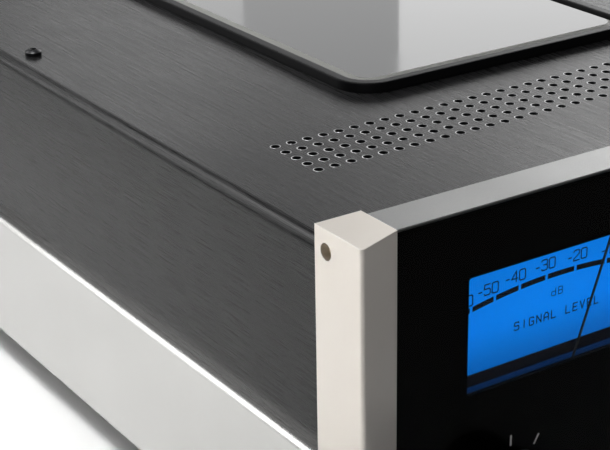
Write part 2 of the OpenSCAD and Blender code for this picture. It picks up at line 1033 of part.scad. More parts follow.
module input_board() {
    y1 = rear_y - socket_back;
    color("darkgreen")
    block([xlr_x[0] - 14, y1 - board_t, socket_z - 17], [trigger_x[1] + 10, y1, socket_z + 17]);
}

// Speaker posts -------------------------------------------------------------

module post_insulators() {
    color("black")
    for (x = post_x)
        difference() {
            union() {
                rod_y(x, post_z, post_flange_r, rear_y, rear_y + post_flange_t);
                rod_y(x, post_z, 5, inner_rear_y - 4, rear_y + cut);
            }
            rod_y(x, post_z, post_stud_r + 0.02, inner_rear_y - 5, rear_y + 10);
        }
}

module post_studs() {
    color("goldenrod")
    for (x = post_x)
        difference() {
            union() {
                rod_y(x, post_z, post_stud_r, rear_y - 14, rear_y + post_out - 2);
                rod_y(x, post_z, 5, inner_rear_y - 8, inner_rear_y - 4);
            }
            rod_y(x, post_z, banana_d / 2, rear_y + post_out - 22, rear_y + post_out);
        }
}

module post_collar(k) {
    y0 = rear_y + post_flange_t;
    color("goldenrod")
    difference() {
        rod_y(post_x[k], post_z, 6, y0, y0 + collar_t);
        rod_y(post_x[k], post_z, post_stud_r + running, y0 - cut, y0 + collar_t + cut);
    }
}

// Turning cap that presses the collar against the insulator
module post_cap(k) {
    y0 = rear_y + post_flange_t + collar_t;
    ribs = 12;
    color(k % 2 == 0 ? "black" : "firebrick")
    difference() {
        union() {
            rod_y(post_x[k], post_z, post_cap_r - 0.8, y0, rear_y + post_out);
            for (a = [0:ribs - 1])
                rod_y(post_x[k] + (post_cap_r - 1.5) * cos(360 * a / ribs),
                      post_z + (post_cap_r - 1.5) * sin(360 * a / ribs), 1.5, y0, rear_y + post_out - 1.5);
        }
        rod_y(post_x[k], post_z, post_stud_r + running, y0 - cut, rear_y + post_out + cut);
    }
}

// Inside --------------------------------------------------------------------

module power_transformer() {
    w = toroid_r - toroid_hole_r;
    color("peru")
    translate([0, toroid_y, floor_z + pad_t])
        rotate_extrude()
            translate([toroid_hole_r + w / 2, toroid_h / 2])
                rounded(w, toroid_h, toroid_edge_r);
}

module transformer_fixings() {
    bolt_r = 4;
    washer_r = 44;
    film = 0.05;
    top = floor_z + 2 * pad_t + toroid_h;
    color("silver")
    translate([0, toroid_y, 0]) {
        for (z = [floor_z, top - pad_t])
            translate([0, 0, z])
                washer(washer_r, bolt_r + 0.2, pad_t);
        translate([0, 0, top + film])
            washer(washer_r - 4, bolt_r + 0.2, dish_t);
        translate([0, 0, top + dish_t + 2 * film])
            difference() {
                cylinder(h = 6, r = 7, $fn = 6);
                translate([0, 0, -cut])
                    cylinder(h = 8, r = bolt_r + 0.1);
            }
        translate([0, 0, base_z - 3])
            cylinder(h = 3, r = 7);
        translate([0, 0, base_z - 0.1])
            cylinder(h = top + dish_t + 9 - base_z, r = bolt_r);
    }
}

module washer(r, hole_r, t) {
    difference() {
        cylinder(h = t, r = r);
        translate([0, 0, -cut])
            cylinder(h = t + 2 * cut, r = hole_r);
    }
}

// One finned extrusion per channel, with the fins under the vents
module heat_sinks() {
    fins = floor(heat_sink_w / vent_pitch);
    base_y = heat_sink_y + heat_sink_fin_d;
    color("dimgray")
    for (side = [-1, 1]) {
        x0 = side > 0 ? 2 : -2 - heat_sink_w;
        block([x0, base_y, floor_z], [x0 + heat_sink_w, base_y + heat_sink_base_t, floor_z + heat_sink_h]);
        for (k = [0:fins])
            translate([x0 + k * (heat_sink_w - heat_sink_fin_t) / fins, heat_sink_y, floor_z])
                cube([heat_sink_fin_t, heat_sink_fin_d + 0.1, heat_sink_h]);
    }
}

module output_transistors() {
    body = [16, 5, 20];
    y0 = heat_sink_y + heat_sink_fin_d + heat_sink_base_t;
    color("black")
    for (side = [-1, 1], k = [0:3])
        translate([side * (20 + 24 * k), y0, 0]) {
            translate([-body[0] / 2, 0, floor_z + 50])
                cube(body);
            for (lead = [-5, 0, 5])
                translate([lead - 0.6, 2, board_z + board_t])
                    cube([1.2, 0.8, floor_z + 50.1 - board_z - board_t]);
        }
}

module amp_boards() {
    color("darkgreen")
    for (side = [-1, 1])
        translate([side * (amp_board_w / 2 + 3), amp_board_y + amp_board_d / 2, board_z + board_t / 2])
            cube([amp_board_w, amp_board_d, board_t], center = true);
}

module supply_boards() {
    color("darkgreen")
    for (side = [-1, 1])
        translate([side * (supply_board_x + supply_board_w / 2), toroid_y, board_z + board_t / 2])
            cube([supply_board_w, supply_board_d, board_t], center = true);
}

module filter_capacitors() {
    color("navy")
    for (side = [-1, 1], k = [-1:1])
        translate([side * (supply_board_x + supply_board_w / 2), toroid_y + k * (capacitor_d + 3), board_z + board_t])
            cylinder(h = capacitor_h, r = capacitor_d / 2);
}

// Short hexagonal spacers under the boards and tall pillars under the cover's screws
module standoffs() {
    inset = 6;
    color("goldenrod")
    for (side = [-1, 1], ex = [-1, 1], ey = [-1, 1]) {
        translate([side * (amp_board_w / 2 + 3) + ex * (amp_board_w / 2 - inset),
                   amp_board_y + amp_board_d / 2 + ey * (amp_board_d / 2 - inset), floor_z])
            cylinder(h = board_z - floor_z, r = standoff_r, $fn = 6);
        translate([side * (supply_board_x + supply_board_w / 2) + ex * (supply_board_w / 2 - inset),
                   toroid_y + ey * (supply_board_d / 2 - inset), floor_z])
            cylinder(h = board_z - floor_z, r = standoff_r, $fn = 6);
    }
    color("goldenrod")
    cover_screw_places()
        difference() {
            translate([0, 0, floor_z - cover_z])
                cylinder(h = cover_z - cover_t - floor_z, r = pillar_r, $fn = 6);
            translate([0, 0, -12])
                cylinder(h = 12, r = thread_hole_r);
        }
}

chassis_pan();
rear_panel();
top_cover();
cover_screws();
rear_screws();
glass_frame();
top_glass();
front_glass();
front_mask();
front_subpanel();
front_rail_top();
front_rail_bottom();
end_cap_left();
end_cap_right();
end_cap_screws();
feet();
foot_screws();
meter_housings();
meter_dials();
meter_movements();
meter_needle_left();
meter_needle_right();
meter_lamp_boards();
knob_left();
knob_right();
switch_shaft(-knob_x);  // switch_shaft_left
switch_shaft(knob_x);  // switch_shaft_right
rotary_switches();
bush_nuts();
status_lens();
control_board();
mains_inlet();
inlet_pins();
fuse_drawer();
xlr_sockets();
xlr_latch(xlr_x[0]);  // xlr_latch_left
xlr_latch(xlr_x[1]);  // xlr_latch_right
rca_sockets();
input_switch();
input_switch_slider();
trigger_jacks();
input_board();
post_insulators();
post_studs();
post_collar(0);  // post_collar_1
post_collar(1);  // post_collar_2
post_collar(2);  // post_collar_3
post_collar(3);  // post_collar_4
post_cap(0);  // post_cap_1
post_cap(1);  // post_cap_2
post_cap(2);  // post_cap_3
post_cap(3);  // post_cap_4
power_transformer();
transformer_fixings();
heat_sinks();
output_transistors();
amp_boards();
supply_boards();
filter_capacitors();
standoffs();
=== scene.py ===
import math

import bpy
from mathutils import Matrix, Vector


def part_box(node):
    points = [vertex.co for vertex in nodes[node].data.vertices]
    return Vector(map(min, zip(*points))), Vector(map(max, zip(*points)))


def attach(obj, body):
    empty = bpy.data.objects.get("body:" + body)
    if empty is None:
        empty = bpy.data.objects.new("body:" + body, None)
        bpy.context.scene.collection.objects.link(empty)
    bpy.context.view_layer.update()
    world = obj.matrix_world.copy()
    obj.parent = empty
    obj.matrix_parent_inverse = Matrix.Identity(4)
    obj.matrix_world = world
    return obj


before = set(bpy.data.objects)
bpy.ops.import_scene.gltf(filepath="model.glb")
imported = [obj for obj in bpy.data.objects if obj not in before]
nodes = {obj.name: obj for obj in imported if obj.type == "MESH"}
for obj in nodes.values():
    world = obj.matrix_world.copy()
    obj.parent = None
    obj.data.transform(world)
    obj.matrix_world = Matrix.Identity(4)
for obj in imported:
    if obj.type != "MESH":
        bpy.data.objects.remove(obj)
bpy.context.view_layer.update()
MM = 0.001


# Chassis pan ---------------------------------------------------------------
# One stainless sheet, folded up at both sides and inward again as a narrow ledge,
# then polished. The cover stands on the ledge and the feet are screwed below it.

def new_finish(name, color, roughness, metallic=0.0, specular=0.5):
    """A node material; its plain values are set on the Principled shader's own sockets."""
    finish = bpy.data.materials.new(name)
    finish.use_nodes = True
    shader = finish.node_tree.nodes["Principled BSDF"]
    shader.inputs["Base Color"].default_value = (*color, 1.0)
    shader.inputs["Roughness"].default_value = roughness
    shader.inputs["Metallic"].default_value = metallic
    shader.inputs["Specular IOR Level"].default_value = specular
    return finish, finish.node_tree, shader


def new_effect(name, inputs, outputs):
    """A shader node group with named inputs (name, kind, default) and outputs (name, kind)."""
    tree = bpy.data.node_groups.new(name, "ShaderNodeTree")
    for label, kind, value in inputs:
        socket = tree.interface.new_socket(name=label, in_out="INPUT", socket_type="NodeSocket" + kind)
        socket.default_value = value
    for label, kind in outputs:
        tree.interface.new_socket(name=label, in_out="OUTPUT", socket_type="NodeSocket" + kind)
    return tree, tree.nodes.new("NodeGroupInput"), tree.nodes.new("NodeGroupOutput")


def math_node(tree, operation, first, second=None, clamp=False):
    """A Math node; each operand is a socket or a number."""
    step = tree.nodes.new("ShaderNodeMath")
    step.operation = operation
    step.use_clamp = clamp
    for socket, value in zip(step.inputs, (first, second)):
        if isinstance(value, bpy.types.NodeSocket):
            tree.links.new(value, socket)
        elif value is not None:
            socket.default_value = value
    return step.outputs[0]


def span(tree, value, low, high, start=0.0, end=1.0):
    """Maps a 0 to 1 value onto low to high."""
    step = tree.nodes.new("ShaderNodeMapRange")
    tree.links.new(value, step.inputs["Value"])
    step.inputs["From Min"].default_value = start
    step.inputs["From Max"].default_value = end
    step.inputs["To Min"].default_value = low
    step.inputs["To Max"].default_value = high
    return step.outputs["Result"]


def blend_colors(tree, mask, low, high):
    """Mixes two colours (tuples or sockets) by a mask."""
    step = tree.nodes.new("ShaderNodeMix")
    step.data_type = "RGBA"
    tree.links.new(mask, step.inputs[0])
    for socket, value in ((step.inputs[6], low), (step.inputs[7], high)):
        if isinstance(value, bpy.types.NodeSocket):
            tree.links.new(value, socket)
        else:
            socket.default_value = (*value, 1.0)
    return step.outputs[2]


def make_brush_lines():
    """Fine lines left by a belt, long where Grain is small and close where it is large (per metre)."""
    tree, given, result = new_effect(
        "brush_lines",
        [("Grain", "Vector", (3000.0, 30.0, 3000.0))],
        [("Lines", "Float"), ("Streaks", "Float")])
    place = tree.nodes.new("ShaderNodeTexCoord")
    for name, share, detail in (("Lines", 1.0, 3.0), ("Streaks", 0.22, 4.0)):
        stretch = tree.nodes.new("ShaderNodeVectorMath")
        stretch.operation = "MULTIPLY"
        tree.links.new(place.outputs["Object"], stretch.inputs[0])
        tree.links.new(given.outputs["Grain"], stretch.inputs[1])
        shrink = tree.nodes.new("ShaderNodeVectorMath")
        shrink.operation = "SCALE"
        tree.links.new(stretch.outputs[0], shrink.inputs[0])
        shrink.inputs["Scale"].default_value = share
        noise = tree.nodes.new("ShaderNodeTexNoise")
        noise.inputs["Scale"].default_value = 1.0
        noise.inputs["Detail"].default_value = detail
        noise.inputs["Roughness"].default_value = 0.62
        tree.links.new(shrink.outputs[0], noise.inputs["Vector"])
        tree.links.new(span(tree, noise.outputs[0], 0.0, 1.0, 0.3, 0.7), result.inputs[name])
    return tree


def make_worn_edges():
    """Rounds edges by Radius and marks them, broken up so that the wear is uneven; on the end caps the mark
    is also a painted highlight.
    """
    tree, given, result = new_effect(
        "worn_edges",
        [("Radius", "Float", 0.0003), ("Gain", "Float", 6.0)],
        [("Edge", "Float"), ("Normal", "Vector")])
    soft = tree.nodes.new("ShaderNodeBevel")
    soft.samples = 4
    tree.links.new(given.outputs["Radius"], soft.inputs["Radius"])
    flat = tree.nodes.new("ShaderNodeNewGeometry")
    turn = tree.nodes.new("ShaderNodeVectorMath")
    turn.operation = "DOT_PRODUCT"
    tree.links.new(soft.outputs[0], turn.inputs[0])
    tree.links.new(flat.outputs["Normal"], turn.inputs[1])
    bend = math_node(tree, "SUBTRACT", 1.0, turn.outputs["Value"])
    bend = math_node(tree, "MULTIPLY", bend, given.outputs["Gain"], clamp=True)
    place = tree.nodes.new("ShaderNodeTexCoord")
    patch = tree.nodes.new("ShaderNodeTexNoise")
    patch.inputs["Scale"].default_value = 220.0
    patch.inputs["Detail"].default_value = 3.0
    tree.links.new(place.outputs["Object"], patch.inputs["Vector"])
    uneven = span(tree, patch.outputs[0], 0.35, 1.0, 0.35, 0.65)
    tree.links.new(math_node(tree, "MULTIPLY", bend, uneven), result.inputs["Edge"])
    tree.links.new(soft.outputs[0], result.inputs["Normal"])
    return tree


def make_surface_grain():
    """Even fine grain of blasting, moulding or powder coat, with slow clouds of handling over it."""
    tree, given, result = new_effect(
        "surface_grain",
        [("Fineness", "Float", 2500.0)],
        [("Grain", "Float"), ("Clouds", "Float")])
    place = tree.nodes.new("ShaderNodeTexCoord")
    grain = tree.nodes.new("ShaderNodeTexNoise")
    grain.inputs["Detail"].default_value = 2.0
    tree.links.new(given.outputs["Fineness"], grain.inputs["Scale"])
    tree.links.new(place.outputs["Object"], grain.inputs["Vector"])
    clouds = tree.nodes.new("ShaderNodeTexNoise")
    clouds.inputs["Scale"].default_value = 14.0
    clouds.inputs["Detail"].default_value = 5.0
    tree.links.new(place.outputs["Object"], clouds.inputs["Vector"])
    tree.links.new(grain.outputs[0], result.inputs["Grain"])
    tree.links.new(span(tree, clouds.outputs[0], 0.0, 1.0, 0.3, 0.7), result.inputs["Clouds"])
    return tree


brush_lines = make_brush_lines()
worn_edges = make_worn_edges()
surface_grain = make_surface_grain()


def use_effect(tree, effect, **values):
    """Places an effect group in a material's tree with its own values."""
    step = tree.nodes.new("ShaderNodeGroup")
    step.node_tree = effect
    for label, value in values.items():
        step.inputs[label].default_value = value
    return step


def tint_surface(tree, shader, mask, low, high):
    """Colours the surface from low to high (tuples or sockets) by a mask."""
    tree.links.new(blend_colors(tree, mask, low, high), shader.inputs["Base Color"])


def raise_surface(tree, shader, height, depth, base_normal=None):
    """Bumps the surface by a height in metres."""
    bump = tree.nodes.new("ShaderNodeBump")
    bump.inputs["Strength"].default_value = 1.0
    bump.inputs["Distance"].default_value = depth
    tree.links.new(height, bump.inputs["Height"])
    if base_normal is not None:
        tree.links.new(base_normal, bump.inputs["Normal"])
    tree.links.new(bump.outputs[0], shader.inputs["Normal"])


def dress(finish, *names):
    """Gives every slot of the named CAD nodes this finish."""
    for name in names:
        for slot in nodes[name].material_slots:
            slot.material = finish


def polished_steel():
    finish, tree, shader = new_finish("polished_steel", (0.60, 0.595, 0.58), 0.14, metallic=1.0)
    lines = use_effect(tree, brush_lines, Grain=(2600.0, 14.0, 2600.0))
    edges = use_effect(tree, worn_edges, Radius=2.4 * MM, Gain=0.8)
    grain = use_effect(tree, surface_grain, Fineness=900.0)
    tint = blend_colors(tree, grain.outputs["Clouds"], (0.565, 0.56, 0.545), (0.635, 0.63, 0.615))
    tint = blend_colors(tree, edges.outputs["Edge"], tint, (0.86, 0.86, 0.85))
    tree.links.new(tint, shader.inputs["Base Color"])
    rough = math_node(tree, "MULTIPLY", lines.outputs["Lines"], 0.07)
    cloudy = span(tree, grain.outputs["Clouds"], 0.10, 0.19)
    tree.links.new(math_node(tree, "ADD", rough, cloudy), shader.inputs["Roughness"])
    raise_surface(tree, shader, lines.outputs["Lines"], 0.004 * MM, base_normal=edges.outputs["Normal"])
    return finish


dress(polished_steel(), "chassis_pan")


# Feet ----------------------------------------------------------------------
# Four moulded rubber discs, each held by a zinc-plated screw from below
# through the pan; a little floor dust greys the rubber.

def moulded_rubber():
    finish, tree, shader = new_finish("moulded_rubber", (0.02, 0.02, 0.02), 0.75, specular=0.3)
    grain = use_effect(tree, surface_grain, Fineness=1800.0)
    edges = use_effect(tree, worn_edges, Radius=0.6 * MM, Gain=3.0)
    tint = blend_colors(tree, grain.outputs["Clouds"], (0.014, 0.014, 0.015), (0.045, 0.044, 0.042))
    tint_surface(tree, shader, edges.outputs["Edge"], tint, (0.07, 0.068, 0.065))
    tree.links.new(span(tree, grain.outputs["Grain"], 0.62, 0.9), shader.inputs["Roughness"])
    raise_surface(tree, shader, grain.outputs["Grain"], 0.03 * MM, base_normal=edges.outputs["Normal"])
    return finish


def plated_zinc():
    finish, tree, shader = new_finish("plated_zinc", (0.58, 0.59, 0.6), 0.3, metallic=1.0)
    grain = use_effect(tree, surface_grain, Fineness=2600.0)
    edges = use_effect(tree, worn_edges, Radius=0.2 * MM, Gain=4.0)
    tint = blend_colors(tree, grain.outputs["Clouds"], (0.48, 0.49, 0.5), (0.66, 0.66, 0.67))
    tint_surface(tree, shader, edges.outputs["Edge"], tint, (0.8, 0.8, 0.8))
    tree.links.new(span(tree, grain.outputs["Grain"], 0.22, 0.42), shader.inputs["Roughness"])
    raise_surface(tree, shader, grain.outputs["Grain"], 0.008 * MM, base_normal=edges.outputs["Normal"])
    return finish


zinc = plated_zinc()
dress(moulded_rubber(), "feet")
dress(zinc, "foot_screws")


# Top cover -----------------------------------------------------------------
# An aluminium sheet bent down at both sides, brushed from front to back and
# anodised black. The vent holes are punched and their edges catch the light.

def brushed_black():
    finish, tree, shader = new_finish("brushed_black", (0.02, 0.02, 0.021), 0.3,
                                      metallic=0.02, specular=0.16)
    lines = use_effect(tree, brush_lines, Grain=(4000.0, 50.0, 4000.0))
    edges = use_effect(tree, worn_edges, Radius=0.3 * MM, Gain=4.0)
    grain = use_effect(tree, surface_grain, Fineness=1500.0)
    fine = blend_colors(tree, lines.outputs["Lines"], (0.001, 0.001, 0.001), (0.040, 0.040, 0.041))
    wide = blend_colors(tree, lines.outputs["Streaks"], (0.003, 0.003, 0.003), (0.018, 0.018, 0.019))
    both = tree.nodes.new("ShaderNodeMix")
    both.data_type = "RGBA"
    both.inputs[0].default_value = 0.4
    tree.links.new(fine, both.inputs[6])
    tree.links.new(wide, both.inputs[7])
    worn = blend_colors(tree, edges.outputs["Edge"], both.outputs[2], (0.16, 0.16, 0.165))
    tree.links.new(worn, shader.inputs["Base Color"])
    face = tree.nodes.new("ShaderNodeNewGeometry")
    across = tree.nodes.new("ShaderNodeVectorMath")
    across.operation = "CROSS_PRODUCT"
    across.inputs[0].default_value = (0.0, 1.0, 0.0)
    tree.links.new(face.outputs["Normal"], across.inputs[1])
    tree.links.new(across.outputs[0], shader.inputs["Tangent"])
    shader.inputs["Anisotropic"].default_value = 0.6
    rough = span(tree, lines.outputs["Lines"], 0.20, 0.34)
    rough = math_node(tree, "ADD", rough, span(tree, grain.outputs["Clouds"], -0.02, 0.03))
    tree.links.new(rough, shader.inputs["Roughness"])
    raise_surface(tree, shader, lines.outputs["Lines"], 0.018 * MM, base_normal=edges.outputs["Normal"])
    return finish


def bare_aluminium():
    finish, tree, shader = new_finish("bare_aluminium", (0.6, 0.6, 0.6), 0.35, metallic=1.0)
    grain = use_effect(tree, surface_grain, Fineness=3000.0)
    tint_surface(tree, shader, grain.outputs["Clouds"], (0.30, 0.30, 0.31), (0.55, 0.55, 0.56))
    tree.links.new(span(tree, grain.outputs["Grain"], 0.3, 0.5), shader.inputs["Roughness"])
    return finish


def new_piece(name, vertices, faces, finish, body, record_slot):
    """A mesh piece with one finish, which moves with a CAD body."""
    mesh = bpy.data.meshes.new(name)
    mesh.from_pydata(vertices, [], faces)
    mesh.materials.append(finish)
    for face in mesh.polygons:
        face.use_smooth = False
    mesh.update()
    piece = bpy.data.objects.new(name, mesh)
    bpy.context.scene.collection.objects.link(piece)
    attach(piece, body)
    return piece


def punched_rims():
    """The low rolled lip that the punch leaves round each vent hole."""
    pitch, columns, rows, setback = 6 * MM, 38, 5, 65 * MM
    # Radius and height above the cover, from outside to the hole
    lip = ((1.76 * MM, 0.004 * MM), (1.70 * MM, 0.045 * MM), (1.46 * MM, -0.005 * MM))
    steps = 20
    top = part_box("top_cover")[1].z
    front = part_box("front_glass")[0].y
    vertices, faces = [], []
    for row in range(rows):
        for column in range(columns):
            x = (column - (columns - 1) / 2) * pitch
            y = front + setback + row * pitch
            first = len(vertices)
            for k in range(steps):
                angle = math.tau * k / steps
                across, along = math.cos(angle), math.sin(angle)
                vertices += [(x + radius * across, y + radius * along, top + height)
                             for radius, height in lip]
            for k in range(steps):
                a = first + len(lip) * k
                b = first + len(lip) * ((k + 1) % steps)
                for ring in range(len(lip) - 1):
                    faces.append((a + ring, b + ring, b + ring + 1, a + ring + 1))
    return vertices, faces


cover_finish = brushed_black()
dress(cover_finish, "top_cover")
new_piece("vent_rims", *punched_rims(), bare_aluminium(), "case", "cover_black")


# Screws --------------------------------------------------------------------
# Button-head screws in black oxide hold the cover and the rear panel; the end
# caps have yellow-passivated screws at the bottom of their recesses.

def black_oxide():
    finish, tree, shader = new_finish("black_oxide", (0.02, 0.02, 0.022), 0.32, metallic=0.6)
    grain = use_effect(tree, surface_grain, Fineness=2400.0)
    edges = use_effect(tree, worn_edges, Radius=0.2 * MM, Gain=4.0)
    tint = blend_colors(tree, grain.outputs["Clouds"], (0.012, 0.012, 0.014), (0.04, 0.04, 0.042))
    tint_surface(tree, shader, edges.outputs["Edge"], tint, (0.22, 0.22, 0.22))
    tree.links.new(span(tree, grain.outputs["Grain"], 0.22, 0.42), shader.inputs["Roughness"])
    raise_surface(tree, shader, grain.outputs["Grain"], 0.01 * MM, base_normal=edges.outputs["Normal"])
    return finish


def yellow_passivate():
    finish, tree, shader = new_finish("yellow_passivate", (0.4, 0.32, 0.21), 0.45, metallic=0.4)
    grain = use_effect(tree, surface_grain, Fineness=1600.0)
    tint_surface(tree, shader, grain.outputs["Clouds"], (0.50, 0.41, 0.27), (0.68, 0.57, 0.40))
    tree.links.new(span(tree, grain.outputs["Grain"], 0.3, 0.55), shader.inputs["Roughness"])
    raise_surface(tree, shader, grain.outputs["Grain"], 0.01 * MM)
    return finish


dress(black_oxide(), "cover_screws", "rear_screws")
dress(yellow_passivate(), "end_cap_screws")


# Top plate -----------------------------------------------------------------
# A satin black frame on the cover holds a glass plate with a wide ground
# bevel; the glass is painted black on its underside.

def satin_black():
    finish, tree, shader = new_finish("satin_black", (0.010, 0.010, 0.011), 0.42, specular=0.22)
    grain = use_effect(tree, surface_grain, Fineness=1200.0)
    edges = use_effect(tree, worn_edges, Radius=1.3 * MM, Gain=0.6)
    tint_surface(tree, shader, edges.outputs["Edge"], (0.008, 0.008, 0.009), (0.022, 0.022, 0.023))
    tree.links.new(span(tree, grain.outputs["Clouds"], 0.38, 0.48), shader.inputs["Roughness"])
    raise_surface(tree, shader, grain.outputs["Grain"], 0.006 * MM, base_normal=edges.outputs["Normal"])
    return finish


def backed_glass():
    finish, tree, shader = new_finish("backed_glass", (0.012, 0.014, 0.015), 0.03, specular=0.55)
    grain = use_effect(tree, surface_grain, Fineness=500.0)
    edges = use_effect(tree, worn_edges, Radius=0.25 * MM, Gain=5.0)
    face = tree.nodes.new("ShaderNodeNewGeometry")
    tilt = tree.nodes.new("ShaderNodeSeparateXYZ")
    tree.links.new(face.outputs["True Normal"], tilt.inputs[0])
    bevel = span(tree, tilt.outputs["Z"], 1.0, 0.0, 0.97, 0.995)
    tint = blend_colors(tree, grain.outputs["Clouds"], (0.010, 0.012, 0.012), (0.015, 0.017, 0.018))
    tint = blend_colors(tree, bevel, tint, (0.33, 0.33, 0.31))
    tint_surface(tree, shader, edges.outputs["Edge"], tint, (0.55, 0.58, 0.56))
    polish = span(tree, grain.outputs["Clouds"], 0.02, 0.06)
    ground = math_node(tree, "MULTIPLY", bevel, 0.35)
    tree.links.new(math_node(tree, "ADD", polish, ground), shader.inputs["Roughness"])
    tree.links.new(edges.outputs["Normal"], shader.inputs["Normal"])
    return finish


dress(satin_black(), "glass_frame")
dress(backed_glass(), "top_glass")


# Front rails and end caps --------------------------------------------------
# Extruded aluminium, finely blasted and anodised: grey for the two rails that
# clip over the glass, clear for the bevelled caps screwed to their ends.

def satin_rail():
    finish, tree, shader = new_finish("satin_rail", (0.30, 0.30, 0.30), 0.42, metallic=0.9)
    grain = use_effect(tree, surface_grain, Fineness=3500.0)
    edges = use_effect(tree, worn_edges, Radius=0.25 * MM, Gain=4.0)
    tint = blend_colors(tree, grain.outputs["Grain"], (0.24, 0.24, 0.24), (0.36, 0.36, 0.355))
    tint_surface(tree, shader, edges.outputs["Edge"], tint, (0.5, 0.5, 0.5))
    tree.links.new(span(tree, grain.outputs["Clouds"], 0.38, 0.48), shader.inputs["Roughness"])
    raise_surface(tree, shader, grain.outputs["Grain"], 0.02 * MM, base_normal=edges.outputs["Normal"])
    return finish


def satin_cap():
    finish, tree, shader = new_finish("satin_cap", (0.84, 0.79, 0.73), 0.4, metallic=0.95)
    grain = use_effect(tree, surface_grain, Fineness=3000.0)
    edges = use_effect(tree, worn_edges, Radius=0.35 * MM, Gain=4.0)
    tint = blend_colors(tree, grain.outputs["Clouds"], (0.81, 0.755, 0.69), (0.87, 0.825, 0.77))
    # Painted highlight: the near-white edge colour is partly wear and partly a highlight painted along the
    # caps' edges.
    tint_surface(tree, shader, edges.outputs["Edge"], tint, (0.95, 0.94, 0.92))
    tree.links.new(span(tree, grain.outputs["Grain"], 0.34, 0.48), shader.inputs["Roughness"])
    raise_surface(tree, shader, grain.outputs["Grain"], 0.012 * MM, base_normal=edges.outputs["Normal"])
    return finish


dress(satin_rail(), "front_rail_top", "front_rail_bottom")
dress(satin_cap(), "end_cap_left", "end_cap_right")


# Front glass, light mask and steel plate -----------------------------------
# Clear glass whose coating keeps reflections low, a dead black mask with the
# two meter windows behind it, and the zinc-plated plate that carries it all.

def coated_glass():
    finish, tree, shader = new_finish("coated_glass", (0.97, 0.98, 0.985), 0.0, specular=0.2)
    shader.inputs["Transmission Weight"].default_value = 1.0
    shader.inputs["IOR"].default_value = 1.15
    grain = use_effect(tree, surface_grain, Fineness=60.0)
    tree.links.new(span(tree, grain.outputs["Clouds"], 0.0, 0.012), shader.inputs["Roughness"])
    return finish


def dead_black():
    finish, tree, shader = new_finish("dead_black", (0.002, 0.002, 0.002), 0.8, specular=0.1)
    grain = use_effect(tree, surface_grain, Fineness=2000.0)
    tint_surface(tree, shader, grain.outputs["Grain"], (0.0008, 0.0008, 0.001), (0.003, 0.003, 0.0035))
    tree.links.new(span(tree, grain.outputs["Clouds"], 0.7, 0.95), shader.inputs["Roughness"])
    return finish


dress(coated_glass(), "front_glass")
dress(dead_black(), "front_mask")
dress(zinc, "front_subpanel")


# Level meters --------------------------------------------------------------
# Each meter is a black moulded box with a translucent blue dial, lit from
# behind, a moving-coil movement below it and a thin balanced needle in front.

WINDOW_H, WINDOW_DROP = 37.4 * MM, 22.9 * MM
METER_X = 66.1 * MM
PIVOT_DROP = 55.3 * MM
panel_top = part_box("end_cap_left")[1].z
window_top = panel_top - WINDOW_DROP
window_bottom = window_top - WINDOW_H
pivot_z = window_top - PIVOT_DROP
dial_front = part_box("meter_dials")[0].y


def moulded_black(name, level, shine):
    finish, tree, shader = new_finish(name, (level,) * 3, shine)
    grain = use_effect(tree, surface_grain, Fineness=2200.0)
    edges = use_effect(tree, worn_edges, Radius=0.3 * MM, Gain=4.0)
    tint = blend_colors(tree, grain.outputs["Clouds"], (level * 0.7,) * 3, (level * 1.4,) * 3)
    tint_surface(tree, shader, edges.outputs["Edge"], tint, (level * 3 + 0.01,) * 3)
    tree.links.new(span(tree, grain.outputs["Grain"], shine - 0.08, shine + 0.1), shader.inputs["Roughness"])
    raise_surface(tree, shader, grain.outputs["Grain"], 0.02 * MM, base_normal=edges.outputs["Normal"])
    return finish


def lit_dial():
    """Blue light from behind: full at the scale, a little less at the sides and top, least at the bottom,
    where painted shade stands in for the lower bezel's shadow.
    """
    finish, tree, shader = new_finish("lit_dial", (0.0, 0.006, 0.03), 0.6, specular=0.08)
    place = tree.nodes.new("ShaderNodeTexCoord")
    axes = tree.nodes.new("ShaderNodeSeparateXYZ")
    tree.links.new(place.outputs["Object"], axes.inputs[0])
    off_centre = math_node(tree, "SUBTRACT", math_node(tree, "ABSOLUTE", axes.outputs["X"]), METER_X)
    off_centre = math_node(tree, "ABSOLUTE", off_centre)
    side = span(tree, off_centre, 1.0, 0.9, 0.008, 0.040)
    # Painted shade: the blue darkens towards the window's lower edge, standing in for the shadow of the
    # lower bezel.
    low = span(tree, axes.outputs["Z"], 0.55, 1.0, window_bottom + 4.5 * MM, window_bottom + 17 * MM)
    high = span(tree, axes.outputs["Z"], 1.0, 0.86, window_top - 12 * MM, window_top + 2 * MM)
    grain = use_effect(tree, surface_grain, Fineness=1300.0)
    speckle = span(tree, grain.outputs["Grain"], 0.94, 1.06)
    spread = math_node(tree, "MULTIPLY", side, low)
    fine = math_node(tree, "MULTIPLY", high, speckle)
    light = math_node(tree, "MULTIPLY", spread, fine)
    glow = blend_colors(tree, light, (0.0, 0.0, 0.0), (0.0, 0.195, 0.78))
    tree.links.new(glow, shader.inputs["Emission Color"])
    shader.inputs["Emission Strength"].default_value = 1.0
    return finish


def printed(name, color):
    """Screen-printed ink with a slightly uneven film."""
    finish, tree, shader = new_finish(name, color, 0.6, specular=0.2)
    grain = use_effect(tree, surface_grain, Fineness=1500.0)
    dark = tuple(0.75 * c for c in color)
    tint_surface(tree, shader, grain.outputs["Clouds"], dark, color)
    tree.links.new(span(tree, grain.outputs["Grain"], 0.5, 0.75), shader.inputs["Roughness"])
    return finish


